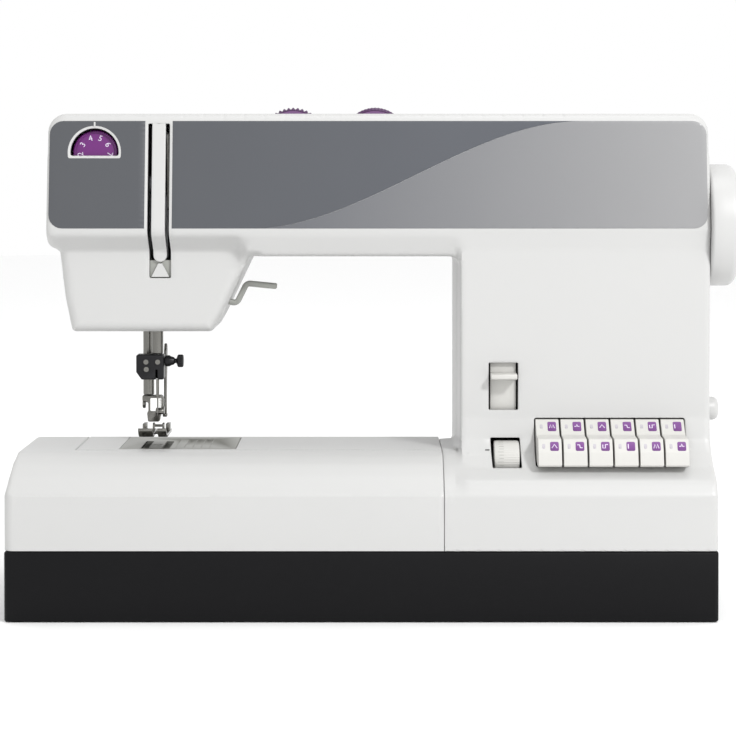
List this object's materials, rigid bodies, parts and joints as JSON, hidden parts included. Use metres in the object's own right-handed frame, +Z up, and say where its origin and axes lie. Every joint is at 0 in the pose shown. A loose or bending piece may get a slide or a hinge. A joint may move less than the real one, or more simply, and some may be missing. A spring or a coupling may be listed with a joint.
{
  "type": "sewing machine",
  "caption": "Free-arm domestic sewing machine with slide-off accessory tray, top dials, stitch keys, handwheel and rotary hook drive.",
  "frame": {"origin": "on the table, under the middle of the machine's outer box", "axes": "+X right along the arm towards the handwheel, +Y away from the sewer, +Z up"},
  "size_m": [0.4296, 0.178, 0.298],
  "materials": {
    "white_plastic": "satin white moulded plastic, very fine texture",
    "black_plastic": "fine-grained black moulded plastic",
    "grey_panel": "smooth two-tone grey film, satin",
    "purple_plastic": "glossy purple plastic",
    "key_plastic": "satin off-white moulded plastic",
    "grey_plastic": "satin grey plastic",
    "rubber": "matt black rubber",
    "belt_rubber": "matt black belt rubber",
    "polished_steel": "polished steel",
    "plate_steel": "finely brushed steel",
    "blackened_steel": "blackened steel",
    "cast_metal": "as-cast aluminium",
    "brass": "machined brass",
    "lamp_glass": "clear glass bulb"
  },
  "bodies": {
    "housing": {"base_pan": "black_plastic", "foot_1": "rubber", "foot_2": "rubber", "foot_3": "rubber", "foot_4": "rubber", "front_cover": "white_plastic", "rear_cover": "white_plastic", "face_panel_left": "grey_panel", "face_panel_right": "grey_panel", "thread_guide": "white_plastic", "free_arm": "white_plastic", "needle_plate": "plate_steel", "frame_casting": "cast_metal", "main_shaft_bush_left": "brass", "main_shaft_bush_right": "brass", "timing_belt": "belt_rubber", "motor_belt": "belt_rubber", "motor_case": "blackened_steel", "bobbin_case": "polished_steel", "bobbin": "grey_plastic", "needle_bar_guide": "cast_metal", "mains_socket": "black_plastic", "lamp": "lamp_glass"},
    "drive": {"main_shaft": "polished_steel", "needle_crank": "cast_metal", "handwheel": "white_plastic", "upper_pulley": "black_plastic"},
    "lower_drive": {"lower_shaft": "polished_steel", "lower_pulley": "black_plastic", "hook_gear": "brass"},
    "hook": {"rotary_hook": "polished_steel"},
    "rotor": {"motor_rotor": "polished_steel"},
    "needle_bar": {"needle_bar": "polished_steel", "connecting_link": "cast_metal", "needle_clamp": "blackened_steel", "needle": "polished_steel"},
    "clamp_screw": {"needle_clamp_screw": "blackened_steel"},
    "take_up": {"take_up_lever": "polished_steel"},
    "presser": {"presser_bar": "polished_steel", "presser_collar": "cast_metal", "presser_foot_holder": "polished_steel", "presser_foot": "polished_steel"},
    "presser_lifter": {"presser_lifter": "grey_plastic"},
    "dual_feed": {"dual_feed_arm": "blackened_steel"},
    "feed_bar": {"feed_bar": "cast_metal"},
    "feed_dog": {"feed_dog": "plate_steel"},
    "tray": {"accessory_tray": "white_plastic"},
    "hook_cover": {"hook_cover": "white_plastic"},
    "tension_dial": {"tension_dial": "purple_plastic"},
    "width_dial": {"stitch_width_dial": "purple_plastic"},
    "length_dial": {"stitch_length_dial": "purple_plastic"},
    "balance_wheel": {"balance_wheel": "key_plastic"},
    "reverse_lever": {"reverse_lever": "key_plastic"},
    "power_button": {"power_button": "white_plastic"},
    "key_1": {"stitch_key_1": "key_plastic"},
    "key_2": {"stitch_key_2": "key_plastic"},
    "key_3": {"stitch_key_3": "key_plastic"},
    "key_4": {"stitch_key_4": "key_plastic"},
    "key_5": {"stitch_key_5": "key_plastic"},
    "key_6": {"stitch_key_6": "key_plastic"}
  },
  "joints": [
    {"name": "handwheel_turn", "type": "hinge", "parent": "housing", "child": "drive", "pos_m": [0, -0.028, 0.2271], "axis": [1, 0, 0], "continuous": true},
    {"name": "lower_shaft_turn", "type": "hinge", "parent": "housing", "child": "lower_drive", "pos_m": [0, -0.01, 0.0705], "axis": [1, 0, 0], "continuous": true},
    {"name": "hook_turn", "type": "hinge", "parent": "housing", "child": "hook", "pos_m": [0, -0.028, 0.0705], "axis": [1, 0, 0], "continuous": true},
    {"name": "rotor_turn", "type": "hinge", "parent": "housing", "child": "rotor", "pos_m": [0, 0.038, 0.12], "axis": [1, 0, 0], "continuous": true},
    {"name": "needle_bar_slide", "type": "slide", "parent": "housing", "child": "needle_bar", "axis": [0, 0, 1], "range_m": [-0.03, 0]},
    {"name": "clamp_screw_turn", "type": "hinge", "parent": "needle_bar", "child": "clamp_screw", "pos_m": [-0.127, -0.028, 0.1455], "axis": [1, 0, 0], "range_deg": [-180, 180]},
    {"name": "take_up_swing", "type": "hinge", "parent": "housing", "child": "take_up", "pos_m": [-0.12385, -0.04, 0.24], "axis": [1, 0, 0], "range_deg": [0, 28.7]},
    {"name": "presser_slide", "type": "slide", "parent": "housing", "child": "presser", "axis": [0, 0, 1], "range_m": [-0.0052, 0]},
    {"name": "lifter_turn", "type": "hinge", "parent": "housing", "child": "presser_lifter", "pos_m": [-0.113, -0.019, 0.184], "axis": [0, 1, 0], "range_deg": [0, 50.05]},
    {"name": "dual_feed_swing", "type": "hinge", "parent": "presser", "child": "dual_feed", "pos_m": [-0.1295, -0.001, 0.15], "axis": [1, 0, 0], "range_deg": [0, 15]},
    {"name": "feed_advance", "type": "slide", "parent": "housing", "child": "feed_bar", "axis": [0, 1, 0], "range_m": [-0.0025, 0.0025]},
    {"name": "feed_lift", "type": "slide", "parent": "feed_bar", "child": "feed_dog", "axis": [0, 0, 1], "range_m": [-0.0015, 0.0005]},
    {"name": "tray_slide", "type": "slide", "parent": "housing", "child": "tray", "axis": [-1, 0, 0], "range_m": [0, 0.27]},
    {"name": "hook_cover_swing", "type": "hinge", "parent": "housing", "child": "hook_cover", "pos_m": [-0.1793, -0.019, 0.057], "axis": [0, 1, 0], "range_deg": [-90.05, 0]},
    {"name": "tension_dial_turn", "type": "hinge", "parent": "housing", "child": "tension_dial", "pos_m": [-0.1664, -0.0465, 0.2702], "axis": [0, -0.99, 0.141], "range_deg": [-120, 120]},
    {"name": "width_dial_turn", "type": "hinge", "parent": "housing", "child": "width_dial", "pos_m": [-0.0509, -0.006, 0.278], "axis": [0, 1, 0], "range_deg": [-130, 130]},
    {"name": "length_dial_turn", "type": "hinge", "parent": "housing", "child": "length_dial", "pos_m": [-0.0012, -0.006, 0.278], "axis": [0, 1, 0], "range_deg": [-130, 130]},
    {"name": "balance_wheel_turn", "type": "hinge", "parent": "housing", "child": "balance_wheel", "pos_m": [0.07565, -0.0562, 0.0898], "axis": [1, 0, 0], "range_deg": [-90, 90]},
    {"name": "reverse_press", "type": "slide", "parent": "housing", "child": "reverse_lever", "axis": [0, 0, -1], "range_m": [0, 0.01], "stiffness_N_per_m": 250},
    {"name": "power_press", "type": "slide", "parent": "housing", "child": "power_button", "axis": [-1, 0, 0], "range_m": [0, 0.004], "stiffness_N_per_m": 400},
    {"name": "key_1_rock", "type": "hinge", "parent": "housing", "child": "key_1", "pos_m": [0.0996, -0.058, 0.098], "axis": [1, 0, 0], "range_deg": [-2.5, 2.5], "stiffness_Nm_per_rad": 0.6},
    {"name": "key_2_rock", "type": "hinge", "parent": "housing", "child": "key_2", "pos_m": [0.1143, -0.058, 0.098], "axis": [1, 0, 0], "range_deg": [-2.5, 2.5], "stiffness_Nm_per_rad": 0.6},
    {"name": "key_3_rock", "type": "hinge", "parent": "housing", "child": "key_3", "pos_m": [0.129, -0.058, 0.098], "axis": [1, 0, 0], "range_deg": [-2.5, 2.5], "stiffness_Nm_per_rad": 0.6},
    {"name": "key_4_rock", "type": "hinge", "parent": "housing", "child": "key_4", "pos_m": [0.1437, -0.058, 0.098], "axis": [1, 0, 0], "range_deg": [-2.5, 2.5], "stiffness_Nm_per_rad": 0.6},
    {"name": "key_5_rock", "type": "hinge", "parent": "housing", "child": "key_5", "pos_m": [0.1584, -0.058, 0.098], "axis": [1, 0, 0], "range_deg": [-2.5, 2.5], "stiffness_Nm_per_rad": 0.6},
    {"name": "key_6_rock", "type": "hinge", "parent": "housing", "child": "key_6", "pos_m": [0.1731, -0.058, 0.098], "axis": [1, 0, 0], "range_deg": [-2.5, 2.5], "stiffness_Nm_per_rad": 0.6}
  ],
  "couplings": [
    {"joint": "lower_shaft_turn", "follows": "handwheel_turn", "ratio": 1},
    {"joint": "hook_turn", "follows": "handwheel_turn", "ratio": -2},
    {"joint": "rotor_turn", "follows": "handwheel_turn", "ratio": 2.8571},
    {"joint": "take_up_swing", "follows": "needle_bar_slide", "rad_per_m": -16.667},
    {"joint": "lifter_turn", "follows": "presser_slide", "rad_per_m": -167.82},
    {"joint": "hook_cover_swing", "follows": "tray_slide", "rad_per_m": -5.8178}
  ]
}
